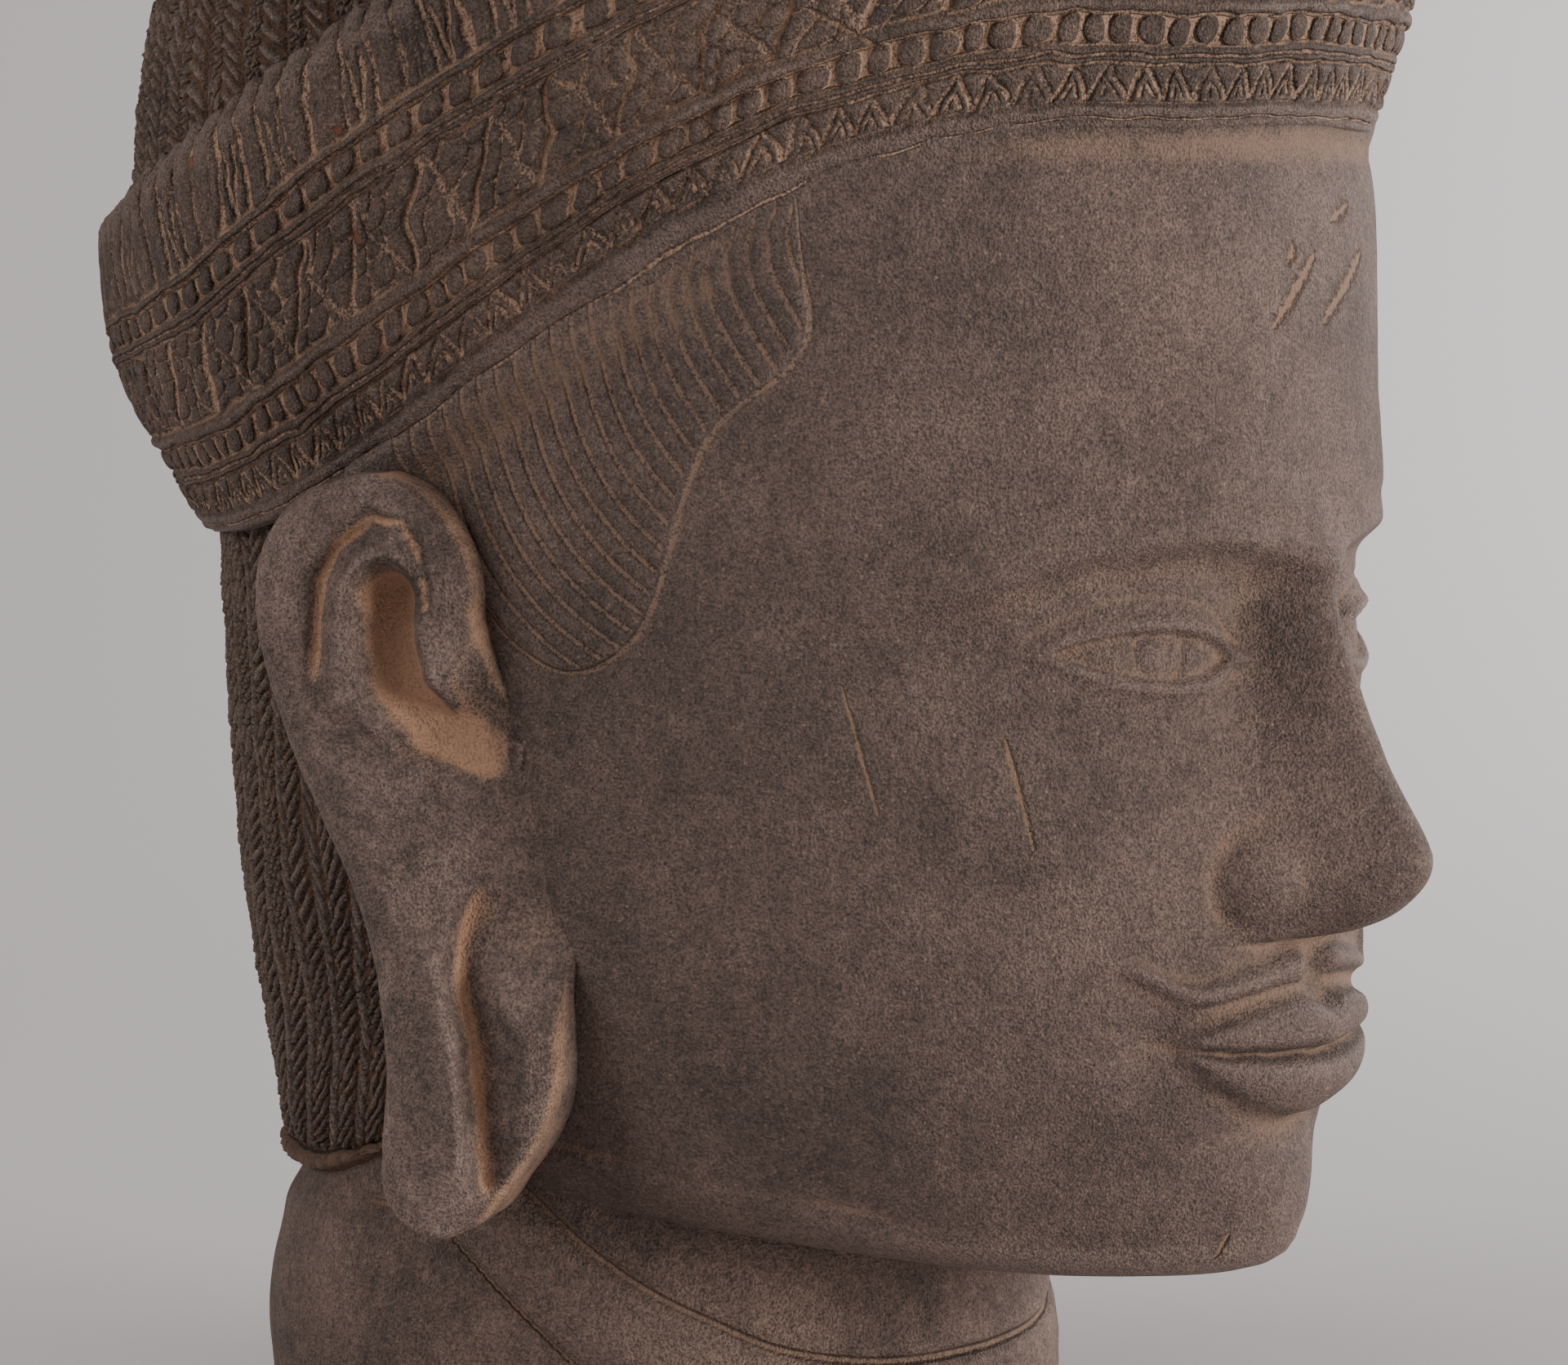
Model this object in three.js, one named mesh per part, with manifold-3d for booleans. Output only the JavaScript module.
// A stone head of Vishnu, carved from one block of sandstone and cut flat below the neck, so it stands by
// its weight. Millimetres, +Z up. The face looks along -Y, the figure's right ear is at -X, and the origin
// is the middle of the underside. Two closed skins make the block: the head with its neck and nape hair,
// and the headdress, which is a flared diadem with a braided dome of hair and a topknot rising from it.
// Both ears are joined on, and all of it is one solid.

import * as THREE from "three";
import { mergeVertices } from "three/addons/utils/BufferGeometryUtils.js";
import Module from "manifold-3d";

const wasm = await Module();
wasm.setup();

// Driving sizes of the head. The face is divided into three equal parts from the hairline to the chin, and
// it is five eyes wide.
const CHIN_Z = 40;
const HAIRLINE_Z = 213;
const FACE_WIDTH = 146;
const FACE_THIRD = (HAIRLINE_Z - CHIN_Z) / 3;
const BROW_Z = HAIRLINE_Z - FACE_THIRD;
const NOSE_BASE_Z = CHIN_Z + FACE_THIRD;
const MOUTH_Z = NOSE_BASE_Z - FACE_THIRD / 3;
const EYE_Z = BROW_Z - 0.3 * FACE_THIRD;
const EYE_WIDTH = FACE_WIDTH / 5;
const FACE_FRONT_Y = -117;
const HEAD_CENTRE_Y = -20;
const NAPE_Y = 71;
const NAPE_HAIR_HEIGHT = 1.2;
const LOCK_HEIGHT = 1.5;

// The neck, which carries the head behind its middle.
const NECK_RADIUS = 63;
const NECK_WAIST_RADIUS = 60.5;
const NECK_BULGE = 3;
const THROAT_Z = 50;
const HEM_Z = 55;
const JAW_ANGLE_Z = 63;

// The diadem: its lower edge is level over the forehead and sinks behind the ears.
const BAND_FRONT_Z = HAIRLINE_Z;
const BAND_DROP = 60;
const BAND_HEIGHT = 60;
const BAND_HEIGHT_BEHIND = 43;
const BAND_HALF_WIDTH = 78.5;
const BAND_FLARE = 15;
const BAND_SWELL = 5;
const RIM_WIDTH = 6;

// The dome of braided hair, which starts a little below the rim, and the topknot.
const RIM_DEPTH = 3;
const DOME_RISE = 12.6;
const TOPKNOT_RADIUS = 35;
const TOPKNOT_HEIGHT = 50;
const TOPKNOT_FOOT_Z = BAND_FRONT_Z + BAND_HEIGHT + DOME_RISE;

// The ears, with lobes drawn down almost to the shoulders.
const EAR_TOP_Z = 164.5;
const EAR_BOTTOM_Z = 51;
const EAR_ROOT = new THREE.Vector2(75, -22);
const EAR_ANGLE = THREE.MathUtils.degToRad(20);
const EAR_SINK = 17;

const STONE = new THREE.MeshStandardMaterial({ color: 0x655449, roughness: 0.9, metalness: 0 });

const rad = THREE.MathUtils.degToRad;
const { lerp, clamp } = THREE.MathUtils;

// 0 below low, 1 above high, and a smooth rise between them.
function ease(low, high, value) {
  return 0.5 - 0.5 * Math.cos(Math.PI * clamp((value - low) / (high - low), 0, 1));
}

// A bell-shaped swelling, 1 at a distance of 0.
function bell(distance, width) {
  return Math.exp(-((distance / width) ** 2));
}

// A smooth curve through a few [position, value] pairs, level beyond its ends.
function profile(...points) {
  const slope = points.map((_, i) => {
    const a = points[Math.max(i - 1, 0)];
    const b = points[Math.min(i + 1, points.length - 1)];
    return (b[1] - a[1]) / (b[0] - a[0]);
  });
  return (position) => {
    if (position <= points[0][0]) return points[0][1];
    const i = points.findIndex((p) => p[0] >= position);
    if (i < 0) return points.at(-1)[1];
    const [x0, y0] = points[i - 1];
    const [x1, y1] = points[i];
    const step = x1 - x0;
    const u = (position - x0) / step;
    const rise = (y1 - y0) * u * u * (3 - 2 * u);
    return y0 + rise + step * u * (1 - u) * ((1 - u) * slope[i - 1] - u * slope[i]);
  };
}

// A point of a horizontal oval: widest at centre, and reaching to front and to back.
function oval(turn, { halfWidth, front, back, centre = 0, squareness = 2 }) {
  const across = Math.sin(turn);
  const along = Math.cos(turn);
  const reach = (Math.abs(across) ** squareness + Math.abs(along) ** squareness) ** (-1 / squareness);
  const end = along > 0 ? front : back;
  return new THREE.Vector2(halfWidth * across * reach, centre + Math.abs(along) * reach * (end - centre));
}

// The head from the jaw up, as sections at each height.
const headHalfWidth = profile(
  [CHIN_Z, 50],
  [JAW_ANGLE_Z, 62],
  [MOUTH_Z, 66.5],
  [NOSE_BASE_Z, 70],
  [EYE_Z, FACE_WIDTH / 2],
  [BROW_Z + FACE_THIRD / 2, 76],
  [HAIRLINE_Z, 77],
  [HAIRLINE_Z + 25, 68],
);
const headFront = profile(
  [CHIN_Z, FACE_FRONT_Y + 10],
  [CHIN_Z + 12, FACE_FRONT_Y + 6.5],
  [MOUTH_Z, FACE_FRONT_Y + 3],
  [NOSE_BASE_Z, FACE_FRONT_Y + 1],
  [EYE_Z, FACE_FRONT_Y],
  [BROW_Z, FACE_FRONT_Y - 2],
  [BROW_Z + FACE_THIRD / 2, FACE_FRONT_Y - 2.5],
  [HAIRLINE_Z, FACE_FRONT_Y + 1],
  [HAIRLINE_Z + 25, FACE_FRONT_Y + 14],
);
const headBack = profile([HEM_Z, NAPE_Y - 5], [BROW_Z, NAPE_Y], [HAIRLINE_Z, NAPE_Y - 6]);

function headSection(turn, z) {
  return oval(turn, {
    halfWidth: headHalfWidth(z),
    front: headFront(z),
    back: headBack(z),
    centre: HEAD_CENTRE_Y * ease(CHIN_Z, MOUTH_Z, z) - 4,
    squareness: lerp(1.9, 2.15, ease(CHIN_Z, NOSE_BASE_Z, z)),
  });
}

function neckSection(turn, z) {
  const waist = ease(20, THROAT_Z, z);
  const radius = lerp(NECK_RADIUS, NECK_WAIST_RADIUS, waist);
  const bulge = NECK_BULGE * bell(z - 30, 12);
  return oval(turn, { halfWidth: radius, front: -radius, back: radius + bulge });
}

// How far the carved features stand out of the plain face, at x across and z up.
function brow(x, z) {
  const side = Math.abs(x);
  const line = BROW_Z - 4 + 4.2 * bell(side - 27, 19) - 1.2 * bell(side, 7) - 6 * ease(40, 66, side);
  const shelf = 3.6 * bell(z - line, z > line ? 12 : 3.4);
  return shelf * (1 - 0.3 * bell(side, 9)) * (1 - ease(52, 66, side));
}

function eye(x, z) {
  const side = Math.abs(x) - EYE_WIDTH;
  const rise = z - EYE_Z;
  const socket = 6.2 * Math.exp(-(Math.hypot((side + 4) / 25, (rise - 2) / 15) ** 3));
  const corner = 3 * bell(side + 17, 6) * bell(rise - 1, 9);
  const ball = 6.4 * Math.max(1 - (side / 19) ** 2 - ((rise - 0.5) / 11.5) ** 2, 0);
  const along = Math.max(1 - (side / 15.4) ** 2, 0);
  const slope = 0.06 * side;
  const upperLid = 1.5 * bell(rise - slope - 0.7 - 4.3 * along ** 0.8, 2) * ease(0, 0.3, along + 0.1);
  const lowerLid = 1 * bell(rise - slope + 0.7 + 3.9 * along ** 0.9, 2) * ease(0, 0.3, along + 0.1);
  const opening = 1.2 * bell(rise - slope, 3.2) * ease(0, 0.3, along);
  return ball - socket - corner + upperLid + lowerLid - opening;
}

function nose(x, z) {
  const side = Math.abs(x);
  const top = BROW_Z - 5;
  const tip = NOSE_BASE_Z + 10.5;
  const along = clamp((top - z) / (top - tip), 0, 1);
  const height = (5 + 10.5 * along ** 1.1) * (1 - ease(top - 6, top + 11, z));
  const ridge = height * Math.exp(-((side / (7.5 + 4.5 * along ** 1.5)) ** 2.4));
  const ball = 3.4 * bell(side, 10) * bell(z - tip, 9.5);
  const base = 2.4 * bell(side, 17) * (1 - ease(EYE_Z - 6, BROW_Z, z));
  const wing = 9.5 * Math.max(1 - ((side - 12) / 9) ** 2 - ((z - NOSE_BASE_Z - 6.6) / 8.8) ** 2, 0);
  const below = clamp((z - NOSE_BASE_Z + 2.5) / 12.5, 0, 1);
  return (Math.max(ridge + ball, wing) + base) * Math.sqrt(1 - (1 - below) ** 2.2);
}

function mouth(x, z) {
  const share = Math.abs(x) / 26;
  const inside = Math.max(1 - share ** 2, 0);
  const line = MOUTH_Z + 2 * share ** 3 - 0.5 * bell(x, 5);
  const muzzle = 5.2 * bell(x, 33) * bell(z - MOUTH_Z - 1, 22);
  const upper = 4.4 * inside ** 0.6 * bell(z - line - 4, 3.4);
  const lower = 5.2 * inside ** 0.6 * bell(z - line + 4.8, 3.8);
  const parting = 2.6 * ease(-0.2, 0.15, 1 - share) * bell(z - line, 1.3);
  const along = z - MOUTH_Z - 11 + 6 * share ** 1.6 - 9 * ease(0.9, 1.5, share);
  const moustache = 0.8 * bell(along, 2) * ease(0.1, 0.3, share);
  return muzzle + upper + lower - parting + moustache * (1 - ease(1.2, 1.45, share));
}

function chin(x, z) {
  return 4.6 * bell(x, 17) * bell(z - CHIN_Z - 12, 10) - 2.2 * bell(x, 17) * bell(z - CHIN_Z - 25.5, 4.2);
}

function cheek(x, z) {
  const side = Math.abs(x);
  const bone = 2.6 * bell(side - 43, 19) * bell(z - NOSE_BASE_Z - 17, 17);
  return bone + bell(side - 34, 16) * bell(z - MOUTH_Z + 4, 18);
}

function faceRelief(x, z) {
  return brow(x, z) + eye(x, z) + nose(x, z) + mouth(x, z) + chin(x, z) + cheek(x, z);
}

// The edge where the jaw ends at the front, and the hem of the hair at the back.
function jawZ(turn) {
  const side = Math.abs(turn);
  return (
    lerp(CHIN_Z + 10, JAW_ANGLE_Z, ease(rad(25), rad(95), side)) -
    (JAW_ANGLE_Z - HEM_Z) * ease(rad(98), rad(125), side)
  );
}

// Hair stands a little proud of the skin: at the nape, and in a rounded lock in front of each ear.
function hairRelief(turn, z) {
  const side = Math.abs(turn);
  const nape = ease(rad(100), rad(106), side) * ease(HEM_Z, HEM_Z + 4, z);
  const lockDistance = Math.hypot((side - rad(79)) / rad(17), (z - BROW_Z - 2) / 33);
  return NAPE_HAIR_HEIGHT * nape + LOCK_HEIGHT * (1 - ease(0.6, 1.15, lockDistance));
}

function headSurface(turn, z) {
  const p = headSection(turn, z);
  const facing = ease(0, 0.35, Math.cos(turn));
  const swell = 1 + hairRelief(turn, z) / Math.hypot(p.x, p.y - HEAD_CENTRE_Y);
  return new THREE.Vector3(
    p.x * swell,
    HEAD_CENTRE_Y + (p.y - HEAD_CENTRE_Y) * swell - facing * faceRelief(p.x, z),
    z,
  );
}

// The underside of the jaw, or of the hem, swings out from the top of the neck.
function jawUnderside(turn, share) {
  const edgeZ = jawZ(turn);
  const throatZ = lerp(THROAT_Z, edgeZ - 4, ease(rad(20), rad(90), Math.abs(turn)));
  const throat = neckSection(turn, throatZ);
  const edge = headSurface(turn, edgeZ);
  const start = new THREE.Vector3(throat.x, throat.y, throatZ);
  const bendZ = Math.min(edgeZ - 3.5, lerp(CHIN_Z - 4, edgeZ, ease(0, rad(90), Math.abs(turn))));
  const bend = new THREE.Vector3(edge.x, edge.y, bendZ);
  return new THREE.QuadraticBezierCurve3(start, bend, edge).getPoint(share);
}

// The diadem's lower edge and slant height around the head.
function bandZ(turn) {
  return BAND_FRONT_Z - BAND_DROP * ease(rad(30), rad(133), Math.abs(turn));
}

function bandHeight(turn) {
  return lerp(BAND_HEIGHT, BAND_HEIGHT_BEHIND, ease(rad(95), rad(175), Math.abs(turn)));
}

// The band's mouldings, as [share of its height, how far they stand out].
const BAND_PROFILE = [
  [0, 0],
  [0.05, 1],
  [0.11, 0.9],
  [0.14, -0.3],
  [0.2, 0.2],
  [0.3, 0.3],
  [0.385, 0.8],
  [0.42, 0],
  [0.66, 0],
  [0.69, 0.7],
  [0.74, 0.3],
  [0.8, 0.6],
  [0.94, 0.1],
  [1, -2],
];

function bandSurface(turn, share, relief) {
  const swell = BAND_SWELL * Math.sin(Math.PI * share ** 1.15) * ease(0, rad(160), Math.abs(turn));
  const out = BAND_FLARE * share + swell + relief;
  const p = oval(turn, {
    halfWidth: BAND_HALF_WIDTH + out,
    front: FACE_FRONT_Y - 1 - out,
    back: NAPE_Y + 2 + out,
    centre: HEAD_CENTRE_Y,
    squareness: 2.15,
  });
  return new THREE.Vector3(p.x, p.y, bandZ(turn) + share * bandHeight(turn));
}

// The dome of hair swells from the inside of the rim (share 0) to the foot of the topknot (share 1).
function domeSurface(turn, share) {
  const foot = bandSurface(turn, 1, -RIM_WIDTH);
  const out = foot.clone().setZ(0).sub(new THREE.Vector3(0, HEAD_CENTRE_Y, 0));
  const rise = (share * Math.PI) / 2;
  out.setLength(lerp(TOPKNOT_RADIUS, out.length(), Math.cos(rise)));
  const z = lerp(foot.z - RIM_DEPTH, TOPKNOT_FOOT_Z, Math.sin(rise));
  return new THREE.Vector3(out.x, HEAD_CENTRE_Y + out.y, z);
}

// The topknot's outline, as [share of its radius, share of its height].
const TOPKNOT_OUTLINE = [
  [1.1, 0.02],
  [1.1, 0.12],
  [0.92, 0.17],
  [1.02, 0.4],
  [0.98, 0.62],
  [0.8, 0.84],
  [0.42, 0.97],
];

// A closed skin: rows of points around the vertical, with one point at the bottom and one at the top.
function closedSkin(bottom, rows, top) {
  const columns = rows[0].length;
  const corners = [bottom, ...rows.flat(), top];
  const at = (row, column) => 1 + row * columns + ((column + columns) % columns);
  const last = corners.length - 1;
  const index = [];
  for (let column = 0; column < columns; column++) {
    index.push(0, at(0, column + 1), at(0, column));
    index.push(last, at(rows.length - 1, column), at(rows.length - 1, column + 1));
    for (let row = 0; row < rows.length - 1; row++) {
      index.push(at(row, column), at(row, column + 1), at(row + 1, column + 1));
      index.push(at(row, column), at(row + 1, column + 1), at(row + 1, column));
    }
  }
  const skin = new THREE.BufferGeometry().setFromPoints(corners);
  skin.setIndex(index);
  return skin;
}

// Turns around the head: fine steps at the middle of the face, and even ones through the hair.
function turnsAround(faceSteps, hairSteps, faceEnd) {
  const half = [];
  for (let i = 0; i < faceSteps; i++) half.push(faceEnd * (i / faceSteps) ** 1.25);
  for (let i = 0; i <= hairSteps; i++) half.push(lerp(faceEnd, Math.PI, i / hairSteps));
  return [...half, ...half.slice(1, -1).reverse().map((turn) => -turn)];
}

// Heights of the rows up the middle of the face, close together where the features are.
function faceHeights() {
  const runs = [
    [CHIN_Z + 10, MOUTH_Z - 11, 3],
    [MOUTH_Z - 11, MOUTH_Z - 2.5, 3],
    [MOUTH_Z - 2.5, MOUTH_Z + 2.5, 4],
    [MOUTH_Z + 2.5, NOSE_BASE_Z - 4, 4],
    [NOSE_BASE_Z - 4, NOSE_BASE_Z + 12, 5],
    [NOSE_BASE_Z + 12, EYE_Z - 9, 3],
    [EYE_Z - 9, EYE_Z + 9, 7],
    [EYE_Z + 9, BROW_Z + 3, 3],
    [BROW_Z + 3, HAIRLINE_Z + 8, 4],
  ];
  const heights = runs.flatMap(([low, high, steps]) =>
    Array.from({ length: steps }, (_, i) => lerp(low, high, i / steps)),
  );
  return [...heights.slice(1), HAIRLINE_Z + 8, HAIRLINE_Z + 25];
}

function headSkin() {
  const turns = turnsAround(19, 12, rad(66));
  const topZ = HAIRLINE_Z + 25;
  const rows = [0, 18, 30, 42].map((z) =>
    turns.map((turn) => {
      const p = neckSection(turn, z);
      return new THREE.Vector3(p.x, p.y, z);
    }),
  );
  for (const share of [0, 0.4, 0.7, 1]) rows.push(turns.map((turn) => jawUnderside(turn, share)));
  for (const height of faceHeights()) {
    const share = (height - jawZ(0)) / (topZ - jawZ(0));
    rows.push(turns.map((turn) => headSurface(turn, lerp(jawZ(turn), topZ, share))));
  }
  return closedSkin(new THREE.Vector3(0, 0, 0), rows, new THREE.Vector3(0, HEAD_CENTRE_Y, topZ));
}

const HEADDRESS_COLUMNS = 54;

function headdressSkin() {
  const turns = Array.from({ length: HEADDRESS_COLUMNS }, (_, i) => (2 * Math.PI * i) / HEADDRESS_COLUMNS);
  const signed = turns.map((turn) => (turn > Math.PI ? turn - 2 * Math.PI : turn));
  const rows = [signed.map((turn) => bandSurface(turn, 0, -12).setZ(bandZ(turn) + 3))];
  for (const [share, relief] of BAND_PROFILE) {
    rows.push(signed.map((turn) => bandSurface(turn, share, relief)));
  }
  rows.push(signed.map((turn) => bandSurface(turn, 1, -RIM_WIDTH)));
  for (const share of [0, 0.25, 0.5, 0.72, 1]) {
    rows.push(signed.map((turn) => domeSurface(turn, share)));
  }
  for (const [radiusShare, heightShare] of TOPKNOT_OUTLINE) {
    const radius = TOPKNOT_RADIUS * radiusShare;
    const z = TOPKNOT_FOOT_Z + TOPKNOT_HEIGHT * heightShare;
    rows.push(
      signed.map(
        (turn) => new THREE.Vector3(radius * Math.sin(turn), HEAD_CENTRE_Y - radius * Math.cos(turn), z),
      ),
    );
  }
  return closedSkin(
    new THREE.Vector3(0, HEAD_CENTRE_Y, BAND_FRONT_Z),
    rows,
    new THREE.Vector3(0, HEAD_CENTRE_Y, TOPKNOT_FOOT_Z + TOPKNOT_HEIGHT),
  );
}

// The ear's rear and front edges at each height, measured back from its root along the ear.
const earRear = profile(
  [EAR_BOTTOM_Z, 5],
  [EAR_BOTTOM_Z + 2, 11],
  [57, 14.6],
  [63, 15.3],
  [75, 14.7],
  [87, 15.3],
  [99, 18.4],
  [111, 23.3],
  [123, 28.9],
  [135, 32.7],
  [144, 34.3],
  [154, 32.7],
  [161, 26.5],
  [EAR_TOP_Z, 16],
);
const earFront = profile(
  [EAR_BOTTOM_Z, 4],
  [EAR_BOTTOM_Z + 2, 0],
  [58, -4],
  [65, -9],
  [73, -12],
  [86, -12.7],
  [104, -11],
  [118, -7],
  [130, -3],
  [142, 0],
  [148, 0],
  [155, 2.2],
  [162, 8.4],
  [EAR_TOP_Z, 15],
);

// Distance from a point to a straight run between two others.
function distanceToRun(point, start, end) {
  const run = end.clone().sub(start);
  const along = clamp(point.clone().sub(start).dot(run) / run.lengthSq(), 0, 1);
  return point.distanceTo(start.clone().addScaledVector(run, along));
}

// How far the carved ear stands out, at back along it and z up. Its hollow is shaped like a bent drop, its
// rim is rounded, and a slot parts the long lobe into a front and a rear strip.
const HOLLOW_TOP = new THREE.Vector2(13.5, 146);
const HOLLOW_MIDDLE = new THREE.Vector2(11.5, 129);
const HOLLOW_FOOT = new THREE.Vector2(1, 120.5);

function earRelief(back, z) {
  const point = new THREE.Vector2(back, z);
  const fromRear = earRear(z) - back;
  const fromFront = back - earFront(z);
  const rise = ease(96, 116, z);
  const rim = 1.6 * rise * bell(fromRear - 4.5, 4) + 1.4 * ease(134, 146, z) * bell(fromFront - 3, 3.5);
  const hollow = Math.min(
    distanceToRun(point, HOLLOW_TOP, HOLLOW_MIDDLE),
    distanceToRun(point, HOLLOW_MIDDLE, HOLLOW_FOOT),
  );
  const slot = 3.2 * bell(back - 2 - 0.0012 * (z - 82) ** 2, 2.8) * ease(55, 62, z) * (1 - ease(94, 104, z));
  const edge = 4 * (1 - ease(78, 92, z)) + 7.5 * ease(128, 144, z);
  const full = 9 + rim - 8.5 * (1 - ease(2.5, 7.5, hollow)) - slot;
  return lerp(edge, full, ease(-1, 8 + 6 * ease(84, 92, z) * (1 - ease(124, 136, z)), fromFront));
}

function earSkin(side) {
  const around = 18;
  const lowest = [54, 59, 66, 74, 82, 90, 98, 106];
  const heights = [...lowest, 113, 118, 123, 128, 134, 140, 146, 151, 156, 161];
  const along = new THREE.Vector2(Math.sin(EAR_ANGLE), Math.cos(EAR_ANGLE));
  const outward = new THREE.Vector2(Math.cos(EAR_ANGLE), -Math.sin(EAR_ANGLE));
  const place = (back, out, z) => {
    const p = EAR_ROOT.clone().addScaledVector(along, back).addScaledVector(outward, out);
    return new THREE.Vector3(side * p.x, p.y, z);
  };
  const middle = (z) => (earRear(z) + earFront(z)) / 2;
  const rows = heights.map((z) => {
    const half = (earRear(z) - earFront(z)) / 2;
    return Array.from({ length: around }, (_, i) => {
      const turn = (2 * Math.PI * i) / around;
      const back = middle(z) + half * Math.cos(turn);
      const lift = Math.sin(turn);
      const front = (earRelief(back, z) + 3) * Math.max(lift, 0) ** 0.4 - 3;
      return place(back, lift > 0.01 ? front : -3 - EAR_SINK * (1 - (1 + lift) ** 2), z);
    });
  });
  if (side > 0) rows.forEach((row) => row.reverse());
  const foot = place(middle(EAR_BOTTOM_Z), 1, EAR_BOTTOM_Z);
  return closedSkin(foot, rows, place(middle(EAR_TOP_Z), 1, EAR_TOP_Z));
}

// A solid from a closed skin.
function solid(skin) {
  skin.deleteAttribute("normal");
  skin.deleteAttribute("uv");
  const merged = mergeVertices(skin, 1e-4);
  return new wasm.Manifold(
    new wasm.Mesh({
      numProp: 3,
      vertProperties: merged.getAttribute("position").array,
      triVerts: new Uint32Array(merged.index.array),
    }),
  );
}

function stoneHead() {
  const block = solid(headSkin()).add(solid(headdressSkin())).add(solid(earSkin(-1))).add(solid(earSkin(1)));
  const mesh = block.getMesh();
  const geometry = new THREE.BufferGeometry();
  geometry.setAttribute("position", new THREE.BufferAttribute(mesh.vertProperties, 3));
  geometry.setIndex(new THREE.BufferAttribute(mesh.triVerts, 1));
  geometry.computeVertexNormals();
  const head = new THREE.Mesh(geometry, STONE);
  head.name = "stone_head";
  return head;
}

const part = new THREE.Group();
part.add(stoneHead());
export default part;
